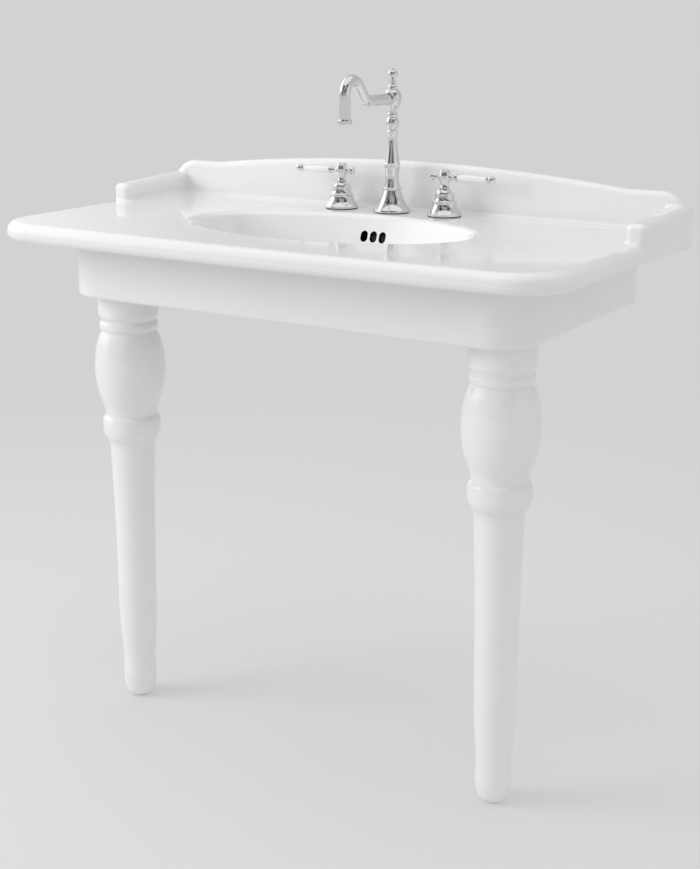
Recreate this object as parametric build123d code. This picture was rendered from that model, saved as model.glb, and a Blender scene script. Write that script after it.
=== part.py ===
"""Console washbasin: a wall-hung ceramic basin on two turned front legs, with a three-hole tap set.

Millimetres. +Z is up and Z = 0 is the finished floor. Y = 0 is the finished wall, and the basin comes
out of it towards -Y. X = 0 is the middle of the basin. Every node is written to parts/NODE.step.
"""
import os
from math import cos, radians, tan

from build123d import *

# ---- basin ----
WIDTH = 1000.0
DEPTH = 520.0
DECK_HEIGHT = 850.0
RIM_THICKNESS = 30.0
RIM_CORNER = 88.0
FRONT_BOW = 10.0
DECK_WALL = 16.0

APRON_WIDTH = 825.0
APRON_FRONT = 426.0
APRON_BOTTOM = 723.0
APRON_CORNER = 60.0
APRON_WALL = 14.0
APRON_EDGE = 8.0

SPLASH_THICKNESS = 25.0
SPLASH_TOP = 932.0
SPLASH_SHOULDER = 909.0
SPLASH_SHOULDER_WIDTH = 105.0
SPLASH_END_RADIUS = 46.0
SPLASH_JOIN_RADIUS = 120.0
SPLASH_ROLL = 12.0
COVE = 8.0
RETURN_LENGTH = 195.0
RETURN_THICKNESS = 34.0
RETURN_FRONT_TOP = 880.0
RETURN_BACK_TOP = 889.0
RETURN_ROLL = 12.0
RETURN_EDGE = 4.0
RETURN_BOTTOM = 822.0
RETURN_PROUD = 1.0

BOWL_A = 255.0
BOWL_B = 157.0
BOWL_Y = -261.0
BOWL_FLOOR = 738.0
BOWL_ROLL = 13.0
BOWL_SHELL = 13.0
BOWL_SLOPE = 20.0
BOWL_CORNER = 58.0
BOWL_SETBACK = 9.0
OVAL_END = 0.68

OVERFLOW_WIDTH = 13.0
OVERFLOW_HEIGHT = 18.0
OVERFLOW_PITCH = 17.5
OVERFLOW_Z = 815.0
DUCT_WIDTH = 58.0
DUCT_NEAR = 7.0
DUCT_FAR = 17.0
DUCT_WALL = 7.0

TAP_Y = -65.0
TAP_SPACING = 100.0
TAP_HOLE = 17.0
FIXING_SPACING = 280.0
FIXING_HEIGHT = 780.0
FIXING_HOLE = 8.0

# ---- waste ----
WASTE_HOLE = 22.5
WASTE_NECK = 37.0
WASTE_NECK_BOTTOM = 709.0
WASTE_RADIUS = 20.9
WASTE_BORE = 18.5
TAIL_RADIUS = 20.0
TAIL_TOP = 698.0
WASTE_END = 689.0
FLANGE_RADIUS = 32.5
SEAT_DEPTH = 3.5
PLUG_RADIUS = 29.0
PLUG_DOME = 4.2
PLUG_TRAVEL = 9.0
WASTE_GASKET = 1.0
SPIDER_Z = 718.0
CARTRIDGE_RADIUS = 6.5
STEM_RADIUS = 4.0

# ---- legs ----
LEG_X = 348.0
LEG_Y = -341.0
LEG_GASKET = 2.0
LEG_TOP = APRON_BOTTOM - LEG_GASKET
WEB_THICKNESS = 17.0
WEB_REACH = 72.0
WEB_HOLE = 7.0
STUD_RADIUS = 5.0
STUD_ABOVE_WEB = 20.0
PAD_RADIUS = 13.0
PAD_PROUD = 1.5
LEG_CROWN = 22.0
LEG_BORE = 26.0
WASHER = 2.0

# ---- taps, heights above the deck ----
GASKET = 1.5
SHANK_RADIUS = 13.0
SHANK_LENGTH = 46.0
SHANK_NECK = 10.0
SPIGOT_RADIUS = 7.0
SPIGOT_HEIGHT = 10.0
SCREW_HEIGHT = 18.0
SCREW_REACH = 13.0
SCREW_RADIUS = 2.5
NUT_HEIGHT = 5.0
COLUMN_FOOT = 42.0
HUB_RADIUS = 15.0
HUB_HEIGHT = 188.0
HUB_HALF = 14.7
PIN_RADIUS = 6.0
PIN_FIT = 0.05
PIN_FOOT = 152.0
PIN_ABOVE = 6.0
RING_GROOVE = 1.6
RING_SECTION = 0.75
ARM_RADIUS = 9.2
ARM_BORE = 7.0
ARM_BEND_START = 85.0
ARM_BEND = 18.0
ARM_SLOPE = 48.0
ARM_REACH = 148.0
ARM_ARCH = 22.0
ARM_DROP = 25.0
LINK_DROP = 34.0
LINK_RADIUS = 5.5
HEAD_HEIGHT = 64.0
HEAD_FOOT = 46.0
STUB_END = 24.0
LEVER_END = 83.0
ROD_RADIUS = 1.5
BELL_TOP = 45.0
BARREL_RADIUS = 9.0
BARREL_TOP = 40.0
SPINDLE_FOOT = 12.0
SPINDLE_TOP = 60.0
SPLINE_RADIUS = 3.5
CAP_BORE = 5.0
CAP_SEAT = 72.0
INLET_RADIUS = 8.3
INLET_LENGTH = 14.0
INLET_BORE = 5.0
TIP_RADIUS = 6.8
SPINDLE_RADIUS = 5.0

MOVING_GAP = 0.3


# ---- shared ways of making a shape ----
def at(x, y, z, shape):
    """The shape with its own origin carried to (x, y, z)."""
    return Pos(x, y, z) * shape


def ring(outer, inner, bottom, top):
    """A plain tube about the upright axis."""
    height = top - bottom
    tube = Cylinder(outer, height, align=(Align.CENTER, Align.CENTER, Align.MIN))
    if inner > 0:
        tube -= Cylinder(inner, height, align=(Align.CENTER, Align.CENTER, Align.MIN))
    return Pos(0, 0, bottom) * tube


def lathe(*edges):
    """A solid turned about Z from joined edges drawn as (radius, height)."""
    outline = make_face(Curve() + list(edges))
    return revolve(Plane.XZ * outline, axis=Axis.Z)


def turned(*points):
    """A solid turned about Z from a closed outline of straight lines, as (radius, height)."""
    return lathe(*Polyline(*points, close=True).edges())


def hexagon(across_flats, hole, bottom, top):
    """An upright hexagon, with a round hole if one is given."""
    outline = RegularPolygon(across_flats / 2, 6, major_radius=False)
    if hole > 0:
        outline -= Circle(hole)
    return Pos(0, 0, bottom) * extrude(outline, top - bottom)


def box(low, high):
    """A box between two corners."""
    size = [b - a for a, b in zip(low, high)]
    return Pos(*low) * Box(*size, align=(Align.MIN, Align.MIN, Align.MIN))


def mirrored_pair(shape):
    """The shape and its mirror image in the basin's middle plane, as two solids."""
    return [shape, mirror(shape, about=Plane.YZ)]


# ---- basin ----
def rim_outline():
    """The deck's outline: straight sides, round front corners and a slightly bowed front."""
    side = WIDTH / 2 - RETURN_PROUD
    corner_y = -(DEPTH - FRONT_BOW)
    edges = [
        Line((side, corner_y), (side, 0)),
        Line((side, 0), (-side, 0)),
        Line((-side, 0), (-side, corner_y)),
        ThreePointArc((-side, corner_y), (0, -DEPTH), (side, corner_y)),
    ]
    outline = make_face(Curve() + edges)
    front = outline.vertices().filter_by(lambda v: v.Y < -1)
    return fillet(front, RIM_CORNER)


def deck():
    """The flat deck with its rolled edge, which stops at the wall."""
    slab = extrude(rim_outline(), RIM_THICKNESS)
    free = slab.edges().filter_by(lambda e: abs(e.tangent_at(0.5).Z) < 0.5 and e.center().Y < -1)
    top = free.filter_by(lambda e: e.center().Z > RIM_THICKNESS / 2)
    slab = fillet(top, RIM_THICKNESS * 0.55)
    free = slab.edges().filter_by(lambda e: e.center().Z < 0.1 and e.center().Y < -1)
    slab = fillet(free, RIM_THICKNESS * 0.4)
    return at(0, 0, DECK_HEIGHT - RIM_THICKNESS, slab)


def apron_outline(inset):
    """The apron's plan, pulled in by inset on its three free sides."""
    half = APRON_WIDTH / 2 - inset
    front = -(APRON_FRONT - inset)
    outline = make_face(Polyline((-half, 0), (half, 0), (half, front), (-half, front), close=True))
    corners = outline.vertices().filter_by(lambda v: v.Y < -1)
    return fillet(corners, APRON_CORNER - inset)


def apron():
    """The open box under the rim that carries the basin, with a soft bottom edge."""
    height = DECK_HEIGHT - RIM_THICKNESS / 2 - APRON_BOTTOM
    block = extrude(apron_outline(0), height)
    lower = block.edges().filter_by(lambda e: e.center().Z < 0.1 and e.center().Y < -1)
    return at(0, 0, APRON_BOTTOM, fillet(lower, APRON_EDGE))


def underside():
    """The space under the deck, behind the apron, where the bowl hangs and the pipes run."""
    back = box((-WIDTH, -APRON_WALL, 0), (WIDTH, APRON_WALL, DECK_HEIGHT))
    height = DECK_HEIGHT - DECK_WALL - APRON_BOTTOM
    space = extrude(apron_outline(APRON_WALL), height + 1)
    return at(0, 0, APRON_BOTTOM - 1, space) - back


def corner_webs():
    """The two shelves inside the apron's front corners that the legs are bolted to."""
    inner = LEG_X - WEB_REACH
    shelf = at(0, 0, APRON_BOTTOM, extrude(apron_outline(APRON_WALL / 2), WEB_THICKNESS))
    near = box((inner, -DEPTH, 0), (WIDTH, LEG_Y + WEB_REACH, DECK_HEIGHT))
    web = (shelf & near).solid()
    upright = web.edges().filter_by(Axis.Z).sort_by_distance((inner, LEG_Y + WEB_REACH, APRON_BOTTOM))
    web = fillet(upright[0], WEB_REACH / 2)
    web -= at(LEG_X, LEG_Y, 0, ring(WEB_HOLE, 0, APRON_BOTTOM - 1, APRON_BOTTOM + WEB_THICKNESS + 1))
    return mirrored_pair(web)


def splash_outline():
    """The backsplash seen from the front: a long low arch between two near-level shoulders."""
    half = WIDTH / 2 - RETURN_PROUD
    shoulder = half - SPLASH_SHOULDER_WIDTH
    arch = ThreePointArc((-shoulder, SPLASH_SHOULDER), (0, SPLASH_TOP), (shoulder, SPLASH_SHOULDER))
    ends = [
        Line((shoulder, SPLASH_SHOULDER), (half, SPLASH_SHOULDER)),
        Line((half, SPLASH_SHOULDER), (half, DECK_HEIGHT - RIM_THICKNESS)),
        Line((half, DECK_HEIGHT - RIM_THICKNESS), (-half, DECK_HEIGHT - RIM_THICKNESS)),
        Line((-half, DECK_HEIGHT - RIM_THICKNESS), (-half, SPLASH_SHOULDER)),
        Line((-half, SPLASH_SHOULDER), (-shoulder, SPLASH_SHOULDER)),
    ]
    outline = make_face(Curve() + [arch] + ends)
    ends = outline.vertices().filter_by(lambda v: v.Y > SPLASH_SHOULDER - 1 and abs(v.X) > half - 1)
    outline = fillet(ends, SPLASH_END_RADIUS)
    joins = outline.vertices().filter_by(lambda v: abs(abs(v.X) - shoulder) < 0.1)
    return fillet(joins, SPLASH_JOIN_RADIUS)


def backsplash():
    """The upstand along the wall, with a broad rolled top."""
    panel = extrude(Plane.XZ * splash_outline(), SPLASH_THICKNESS)
    front = panel.faces().sort_by(Axis.Y)[0]
    rolled = front.edges().filter_by(lambda e: e.center().Z > DECK_HEIGHT)
    return fillet(rolled, SPLASH_ROLL)


def side_return():
    """The short wall that turns forward from the right-hand end of the backsplash, just proud of the deck."""
    side = WIDTH / 2
    outline = Polyline(
        (0, RETURN_BOTTOM),
        (-RETURN_LENGTH, RETURN_BOTTOM),
        (-RETURN_LENGTH, RETURN_FRONT_TOP),
        (0, RETURN_BACK_TOP),
        close=True,
    )
    block = at(side - RETURN_THICKNESS, 0, 0, extrude(Plane.YZ * make_face(outline), RETURN_THICKNESS))
    front = block.edges().filter_by(lambda e: e.center().Y < 1 - RETURN_LENGTH)
    upright = front.filter_by(Axis.Z)
    block = fillet(upright, RETURN_ROLL)
    top = block.faces().filter_by(lambda f: f.normal_at().Z > 0.9)[0]
    rolled = top.edges().filter_by(lambda e: e.center().Y < -1)
    block = fillet(rolled, RETURN_ROLL * 0.9)
    bottom = block.faces().sort_by(Axis.Z)[0]
    under = bottom.edges().filter_by(lambda e: e.center().Y < -1 and e.center().X > side - 30)
    return fillet(under, RETURN_EDGE)


def oval(long_half, short_half):
    """An oval of four arcs that run smoothly into each other."""
    end = short_half * OVAL_END
    reach = long_half - end
    sag = (reach**2 - (short_half - end) ** 2) / (2 * (short_half - end))
    flat_radius = short_half + sag
    x = flat_radius * reach / (flat_radius - end)
    y = flat_radius * sag / (flat_radius - end) - sag
    arcs = [
        ThreePointArc((x, y), (long_half, 0), (x, -y)),
        ThreePointArc((x, -y), (0, -short_half), (-x, -y)),
        ThreePointArc((-x, -y), (-long_half, 0), (-x, y)),
        ThreePointArc((-x, y), (0, short_half), (x, y)),
    ]
    return make_face(Curve() + arcs)


def bowl_block(offset, top):
    """The bowl's form grown outwards by offset: an oval with sloping sides and a round bottom edge."""
    grow = offset / cos(radians(BOWL_SLOPE)) - BOWL_SETBACK + (DECK_HEIGHT - top) * -tan(radians(BOWL_SLOPE))
    depth = top - BOWL_FLOOR + offset
    block = extrude(oval(BOWL_A + grow, BOWL_B + grow), -depth, taper=BOWL_SLOPE)
    floor = block.faces().sort_by(Axis.Z)[0]
    block = fillet(floor.edges(), BOWL_CORNER + offset)
    return at(0, BOWL_Y, top, block)


def bowl_space():
    """The inside of the bowl."""
    above = oval(BOWL_A - BOWL_SETBACK, BOWL_B - BOWL_SETBACK)
    return bowl_block(0, DECK_HEIGHT) + at(0, BOWL_Y, DECK_HEIGHT, extrude(above, 10))


def bowl_shell():
    """The outside of the bowl, seen only from under the basin."""
    return bowl_block(BOWL_SHELL, DECK_HEIGHT - DECK_WALL / 2)


def waste_neck():
    """The thick ring under the bowl that the waste is clamped to."""
    return at(0, BOWL_Y, 0, ring(WASTE_NECK, WASTE_HOLE, WASTE_NECK_BOTTOM, BOWL_FLOOR - SEAT_DEPTH))


def behind_bowl(offset, width):
    """A slice as wide as given, filling the back half of the bowl grown outwards by offset."""
    slope = tan(radians(BOWL_SLOPE))
    across = BOWL_B - BOWL_SETBACK + offset / cos(radians(BOWL_SLOPE))
    depth = DECK_HEIGHT - BOWL_FLOOR + offset
    floor = across - depth * slope
    section = make_face(Polyline((0, 0), (across, 0), (floor, -depth), (0, -depth), close=True))
    corner = section.vertices().sort_by_distance((floor, -depth, 0))[0]
    section = fillet(corner, BOWL_CORNER + offset)
    piece = extrude(Plane.YZ * section, width / 2, both=True)
    above = box((-WIDTH, -DEPTH, DECK_HEIGHT - DECK_WALL / 2), (WIDTH, DEPTH, DECK_HEIGHT + 1))
    return at(0, BOWL_Y, DECK_HEIGHT, piece) - above


def overflow_duct():
    """The ceramic duct down the back of the bowl, before its passage is cut."""
    return behind_bowl(DUCT_FAR + DUCT_WALL, DUCT_WIDTH + 2 * DUCT_WALL)


def overflow_passage():
    """Three slots in the bowl's back wall and the water's way from them down to the waste hole."""
    passage = behind_bowl(DUCT_FAR, DUCT_WIDTH) - behind_bowl(DUCT_NEAR, 2 * DUCT_WIDTH)
    top = OVERFLOW_Z + OVERFLOW_HEIGHT / 2 + 2
    limit = box((-WIDTH, BOWL_Y + 0.8 * WASTE_HOLE, 0), (WIDTH, 0, top))
    return (passage & limit) + overflow_slots()


def overflow_slots():
    """Upright round-topped slots from inside the bowl to halfway into the passage."""
    slot = Pos(0, OVERFLOW_Z) * Rot(0, 0, 90) * SlotOverall(OVERFLOW_HEIGHT, OVERFLOW_WIDTH)
    depth = DECK_HEIGHT - OVERFLOW_Z
    wall = BOWL_B - BOWL_SETBACK - depth * tan(radians(BOWL_SLOPE))
    end = wall + (DUCT_NEAR + DUCT_FAR) / 2
    start = BOWL_B / 2
    cutter = extrude(Plane.XZ * slot, start - end)
    return [at(n * OVERFLOW_PITCH, BOWL_Y + start, 0, cutter) for n in (-1, 0, 1)]


def waste_hole():
    """The waste hole and the shallow seat for its flange."""
    hole = ring(WASTE_HOLE, 0, WASTE_NECK_BOTTOM - DUCT_FAR, BOWL_FLOOR + 1)
    seat = ring(FLANGE_RADIUS + 0.5, 0, BOWL_FLOOR - SEAT_DEPTH, BOWL_FLOOR + 1)
    return at(0, BOWL_Y, 0, hole + seat)


def tap_and_bolt_holes():
    """Three holes for the taps and two for the wall bolts."""
    cuts = []
    for x in (-TAP_SPACING, 0, TAP_SPACING):
        cuts.append(at(x, TAP_Y, 0, ring(TAP_HOLE, 0, DECK_HEIGHT - 2 * DECK_WALL, DECK_HEIGHT + 1)))
    for side in (-1, 1):
        bolt = Rot(90, 0, 0) * ring(FIXING_HOLE, 0, -1, APRON_WALL + 1)
        cuts.append(at(side * FIXING_SPACING / 2, 0, FIXING_HEIGHT, bolt))
    return cuts


def cove_corners(body):
    """Round the inside corners where the backsplash and the returns meet the deck."""
    inner = WIDTH / 2 - RETURN_THICKNESS

    def is_foot(edge):
        middle = edge.center()
        flat = abs(middle.Z - DECK_HEIGHT) < 0.1 and edge.length > 100
        back = abs(middle.Y + SPLASH_THICKNESS) < 0.1
        side = abs(abs(middle.X) - inner) < 0.1
        return flat and (back or side)

    def is_corner(edge):
        middle = edge.center()
        upright = abs(edge.tangent_at(0.5).Z) > 0.99
        return upright and abs(abs(middle.X) - inner) < 0.1 and abs(middle.Y + SPLASH_THICKNESS) < 0.1

    body = fillet(body.edges().filter_by(is_corner), COVE)
    return fillet(body.edges().filter_by(is_foot), COVE)


def round_lip(body):
    """Round the bowl's edge over into the deck."""

    def is_lip(edge):
        middle = edge.center()
        level = abs(middle.Z - DECK_HEIGHT) < 0.1 and edge.length > 100
        return level and abs(middle.X) < BOWL_A and abs(middle.Y - BOWL_Y) < BOWL_B

    return fillet(body.edges().filter_by(is_lip), BOWL_ROLL)


def basin():
    """The whole ceramic casting."""
    body = deck() + apron() - underside()
    body += corner_webs()
    body += backsplash()
    body += mirrored_pair(side_return())
    body = cove_corners(body)
    body -= tap_and_bolt_holes()
    body += bowl_shell()
    body += overflow_duct()
    body += waste_neck()
    body -= bowl_space()
    body = round_lip(body)
    body -= overflow_passage()
    return body - waste_hole()


# ---- legs ----
def leg():
    """A turned hollow ceramic leg standing on the floor, centred on its own axis."""
    shaft = Spline(
        (PAD_RADIUS + 1, PAD_PROUD),
        (21, 6),
        (27.5, 24),
        (28.8, 42),
        (27.8, 60),
        (29.6, 100),
        (33.5, 260),
        (38, 455),
    )
    cove = ThreePointArc((38, 455), (39.5, 467), (44, 474))
    torus = Spline((44, 474), (47.6, 483), (49, 497), (47.5, 508), (43.4, 514))
    bulge = Spline(
        (43.4, 517),
        (45.5, 527),
        (51.2, 543),
        (57, 566),
        (59.6, 594),
        (57.4, 622),
        (52.2, 645),
        (47.6, 656),
    )
    bead = Spline((46.6, 659), (48.6, 663), (49.3, 668), (48.2, 673), (46.2, 676))
    collar = Spline((47, 680), (49.5, 684), (50.6, 700), (52, LEG_TOP - 2))
    steps = [
        Line((43.4, 514), (43.4, 517)),
        Line((47.6, 656), (46.6, 659)),
        Line((46.2, 676), (47, 680)),
    ]
    inner = Polyline(
        (52, LEG_TOP - 2),
        (50, LEG_TOP),
        (STUD_RADIUS, LEG_TOP),
        (STUD_RADIUS, LEG_TOP - LEG_CROWN),
        (LEG_BORE, LEG_TOP - LEG_CROWN - 12),
        (LEG_BORE, 100),
        (PAD_RADIUS, 40),
        (PAD_RADIUS, PAD_PROUD),
        (PAD_RADIUS + 1, PAD_PROUD),
    )
    return lathe(shaft, cove, torus, bulge, bead, collar, *steps, *inner.edges())


def on_legs(shape):
    """The shape at the left and at the right leg, as separate solids."""
    return [at(side * LEG_X, LEG_Y, 0, shape) for side in (-1, 1)]


def leg_gasket():
    """The soft ring between a leg and its web."""
    return ring(44, STUD_RADIUS + 1.5, LEG_TOP, APRON_BOTTOM)


def leg_stud():
    """A threaded stud cemented into the leg's crown."""
    return ring(STUD_RADIUS, 0, LEG_TOP - LEG_CROWN, APRON_BOTTOM + WEB_THICKNESS + STUD_ABOVE_WEB)


def leg_washer():
    """A wide washer on top of the web."""
    bottom = APRON_BOTTOM + WEB_THICKNESS
    return ring(15, STUD_RADIUS, bottom, bottom + WASHER)


def leg_nut():
    """The nut that pulls a leg up against its web."""
    bottom = APRON_BOTTOM + WEB_THICKNESS + WASHER
    return hexagon(17, STUD_RADIUS, bottom, bottom + 8)


def foot_pad():
    """A rubber plug that keeps the ceramic off the floor."""
    return turned((0, 0), (PAD_RADIUS - 2, 0), (PAD_RADIUS, PAD_PROUD), (PAD_RADIUS, 14), (0, 14))


# ---- waste ----
def at_waste(shape):
    """The shape under the middle of the bowl."""
    return at(0, BOWL_Y, 0, shape)


def waste_body():
    """The flanged tube in the waste hole, with overflow windows, a spider and a narrower tail."""
    seat = BOWL_FLOOR - SEAT_DEPTH + WASTE_GASKET
    top = BOWL_FLOOR + 0.5
    body = turned(
        (WASTE_BORE, WASTE_END),
        (TAIL_RADIUS, WASTE_END),
        (TAIL_RADIUS, TAIL_TOP),
        (WASTE_RADIUS, TAIL_TOP),
        (WASTE_RADIUS, seat),
        (FLANGE_RADIUS, seat),
        (FLANGE_RADIUS, top - 1.5),
        (FLANGE_RADIUS - 2, top),
        (WASTE_BORE + 3, top),
        (WASTE_BORE, top - 4),
    )
    for turn in (0, 90):
        window = box((-8, -FLANGE_RADIUS, WASTE_NECK_BOTTOM + 12), (8, FLANGE_RADIUS, WASTE_NECK_BOTTOM + 20))
        body -= Rot(0, 0, turn) * window
    hub = ring(CARTRIDGE_RADIUS + 3, CARTRIDGE_RADIUS, SPIDER_Z, SPIDER_Z + 6)
    arm = box((CARTRIDGE_RADIUS + 1, -2, SPIDER_Z), (WASTE_BORE + 1, 2, SPIDER_Z + 6))
    arms = [Rot(0, 0, 60 + turn) * arm for turn in (0, 120, 240)]
    return body + (hub + arms)


def waste_gasket():
    """The thin ring that seals the flange to the bowl."""
    bottom = BOWL_FLOOR - SEAT_DEPTH
    return ring(FLANGE_RADIUS - 1, WASTE_HOLE + 0.5, bottom, bottom + WASTE_GASKET)


def waste_seal():
    """The thick rubber ring under the bowl."""
    return ring(34, WASTE_RADIUS, WASTE_NECK_BOTTOM - 4, WASTE_NECK_BOTTOM)


def waste_nut():
    """The flat nut that clamps the waste from below."""
    return hexagon(58, WASTE_RADIUS, TAIL_TOP, WASTE_NECK_BOTTOM - 4)


def click_cartridge():
    """The push mechanism that holds the plug up or down, screwed into the spider."""
    top = SPIDER_Z + 9
    return turned(
        (0, SPIDER_Z - 16),
        (CARTRIDGE_RADIUS, SPIDER_Z - 16),
        (CARTRIDGE_RADIUS, top - 3),
        (CARTRIDGE_RADIUS + 2, top - 3),
        (CARTRIDGE_RADIUS + 2, top),
        (STEM_RADIUS + PIN_FIT, top),
        (STEM_RADIUS + PIN_FIT, SPIDER_Z - 13),
        (0, SPIDER_Z - 13),
    )


def waste_plug():
    """The domed plug and its stem, standing open."""
    under = BOWL_FLOOR + 0.5 + PLUG_TRAVEL + 1
    stem_end = SPIDER_Z - 13 + PLUG_TRAVEL + 1
    edge = under + 3
    dome_radius = (PLUG_RADIUS**2 + PLUG_DOME**2) / (2 * PLUG_DOME)
    dome = RadiusArc((0, edge + PLUG_DOME), (PLUG_RADIUS, edge), dome_radius)
    rest = Polyline(
        (PLUG_RADIUS, edge),
        (PLUG_RADIUS, under + 1),
        (PLUG_RADIUS - 1, under),
        (14, under),
        (14, under - 3),
        (STEM_RADIUS, under - 3),
        (STEM_RADIUS, stem_end),
        (0, stem_end),
        (0, edge + PLUG_DOME),
    )
    return lathe(dome, *rest.edges())


def plug_seal():
    """The rubber ring under the plug."""
    under = BOWL_FLOOR + 0.5 + PLUG_TRAVEL + 1
    return ring(17.5, 14, under - 2.5, under)


# ---- spout ----
def at_spout(shape):
    """The shape on the middle tap hole, its zero height on the deck."""
    return at(0, TAP_Y, DECK_HEIGHT, shape)


def spout_bell():
    """The flared base of the spout, hollow, with a plain ring on top."""
    flare = Spline((30.2, 5.5), (25, 12), (19, 24), (14.6, 37))
    outer = Polyline((14.6, 37), (15.8, 38), (15.8, 41), (14.8, COLUMN_FOOT), (SHANK_NECK, COLUMN_FOOT))
    inner = Polyline(
        (SHANK_NECK, COLUMN_FOOT),
        (SHANK_NECK, 30),
        (24, GASKET),
        (31, GASKET),
        (31.5, 3),
        (31, 5),
        (30.2, 5.5),
    )
    bell = lathe(flare, *outer.edges(), *inner.edges())
    return bell - screw_place(SCREW_RADIUS)


def screw_place(radius):
    """A level hole or screw low on the front of the bell."""
    return Pos(0, 0, SCREW_HEIGHT) * Rot(90, 0, 0) * ring(radius, 0, SCREW_REACH, SCREW_REACH + 9)


def spout_screw():
    """The grub screw that locks the bell, set just under its surface."""
    socket = Pos(0, 0, SCREW_HEIGHT) * Rot(90, 0, 0) * hexagon(2.5, 0, SCREW_REACH + 5, SCREW_REACH + 9)
    flush = Pos(0, 0, SCREW_HEIGHT) * Rot(90, 0, 0) * ring(SCREW_RADIUS, 0, SCREW_REACH, SCREW_REACH + 7)
    return flush - socket


def spout_column():
    """The slender turned column between the bell and the swivelling hub."""
    lower = Spline((13.2, 42), (12, 50), (11.4, 58), (12, 67), (12.8, 74))
    band = Polyline((12.8, 74), (13.6, 75.5), (13.6, 80.5), (12.4, 82))
    upper = Spline((12.4, 82), (11.4, 88), (8.6, 106), (7.3, 119), (7.6, 127), (9, 132))
    cup = Polyline((9, 132), (9.2, 134), (7, 136.5))
    ball = Spline((7, 136.5), (9.6, 141), (11, 148.5), (9.4, 155), (7, 158))
    bead = Spline((7, 158), (8.3, 160), (8.5, 162.5), (6.9, 165.5))
    top = HUB_HEIGHT - HUB_HALF - MOVING_GAP
    neck = Polyline((6.9, 165.5), (6.9, 169), (9.5, top), (PIN_RADIUS, top), (PIN_RADIUS, PIN_FOOT))
    foot = Polyline(
        (PIN_RADIUS, PIN_FOOT),
        (0, PIN_FOOT),
        (0, COLUMN_FOOT + SPIGOT_HEIGHT),
        (SPIGOT_RADIUS, COLUMN_FOOT + SPIGOT_HEIGHT),
        (SPIGOT_RADIUS, COLUMN_FOOT),
        (13.2, COLUMN_FOOT),
    )
    return lathe(lower, *band.edges(), upper, *cup.edges(), ball, bead, *neck.edges(), *foot.edges())


def swivel_pin():
    """The brass pin that the spout turns on, fixed in the column."""
    top = HUB_HEIGHT + HUB_HALF + MOVING_GAP
    grooves = []
    for height in (HUB_HEIGHT - 8, HUB_HEIGHT + 8):
        grooves.append(ring(PIN_RADIUS + 1, PIN_RADIUS - RING_GROOVE, height - 1.2, height + 1.2))
    return ring(PIN_RADIUS, 0, PIN_FOOT, top + PIN_ABOVE) - grooves


def swivel_rings():
    """The two O-rings in the pin's grooves."""
    core = PIN_RADIUS - RING_GROOVE + RING_SECTION
    return [Pos(0, 0, HUB_HEIGHT + rise) * Torus(core, RING_SECTION) for rise in (-8, 8)]


def finial():
    """The turned knob screwed on top of the pin, which keeps the spout on."""
    foot = HUB_HEIGHT + HUB_HALF + MOVING_GAP
    bead = Spline((6.5, foot), (7.8, foot + 3), (6.6, foot + 6.5), (3.4, foot + 9))
    collar = Polyline((3.4, foot + 9), (6.4, foot + 11), (6.4, foot + 13), (3.2, foot + 15))
    neck = Line((3.2, foot + 15), (3, foot + 18))
    ball = Spline((3, foot + 18), (7.4, foot + 21.5), (8, foot + 26), (5.4, foot + 31), (2.4, foot + 32.6))
    tip = Spline((2.4, foot + 32.6), (2.2, foot + 34.4), (0, foot + 35.4), tangents=[(0, 1), (-1, 0)])
    socket = Polyline(
        (0, foot + 35.4),
        (0, foot + PIN_ABOVE),
        (PIN_RADIUS, foot + PIN_ABOVE),
        (PIN_RADIUS, foot),
        (6.5, foot),
    )
    return lathe(bead, *collar.edges(), neck, ball, tip, *socket.edges())


def arm_path():
    """The swan neck's centre line from the hub: level, up over an arch and down to the outlet."""
    rise = (ARM_REACH - ARM_BEND_START) * tan(radians(ARM_SLOPE))
    points = [(0, 0), (ARM_BEND_START, 0), (ARM_REACH, rise), (ARM_REACH, -ARM_DROP)]
    side = Plane(origin=(0, 0, HUB_HEIGHT), x_dir=(0, -1, 0), z_dir=(-1, 0, 0))
    return side * FilletPolyline(*points, radius=(ARM_BEND, ARM_ARCH))


def spout_arm():
    """The swivelling swan neck: a turned hub on the pin and a bent tube."""
    path = arm_path()
    start = Plane(origin=path @ 0, z_dir=path % 0)
    tube = sweep(start * Circle(ARM_RADIUS), path=path)
    water = sweep(start * Circle(ARM_BORE), path=path)
    side = ThreePointArc((9.5, -HUB_HALF), (HUB_RADIUS, 0), (9.5, HUB_HALF))
    close = Polyline((9.5, HUB_HALF), (0, HUB_HALF), (0, -HUB_HALF), (9.5, -HUB_HALF))
    hub = Pos(0, 0, HUB_HEIGHT) * lathe(side, *close.edges())
    bore = Pos(0, 0, HUB_HEIGHT) * ring(PIN_RADIUS + PIN_FIT, 0, -HUB_RADIUS, HUB_RADIUS)
    collar = Pos(0, 0, HUB_HEIGHT) * Rot(90, 0, 0) * ring(ARM_RADIUS + 1.6, 0, 11, 17)
    return tube + hub + collar - water - bore


def aerator_ring():
    """The ribbed ring screwed on the outlet."""
    bottom = HUB_HEIGHT - ARM_DROP - 8
    shape = turned(
        (8.0, bottom),
        (10.4, bottom),
        (11.2, bottom + 1),
        (11.2, bottom + 6),
        (10.2, bottom + 8),
        (ARM_BORE, bottom + 8),
        (ARM_BORE, bottom + 7),
        (8.0, bottom + 7),
    )
    return at(0, -ARM_REACH, 0, shape)


def aerator_insert():
    """The small plastic insert with its jets, held in the ring."""
    bottom = HUB_HEIGHT - ARM_DROP - 7
    disc = ring(8.0, 0, bottom, bottom + 6)
    jets = PolarLocations(4.6, 8)
    for place in jets:
        disc -= place * ring(0.9, 0, bottom - 1, bottom + 7)
    disc -= ring(1.2, 0, bottom - 1, bottom + 7)
    return at(0, -ARM_REACH, 0, disc)


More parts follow.
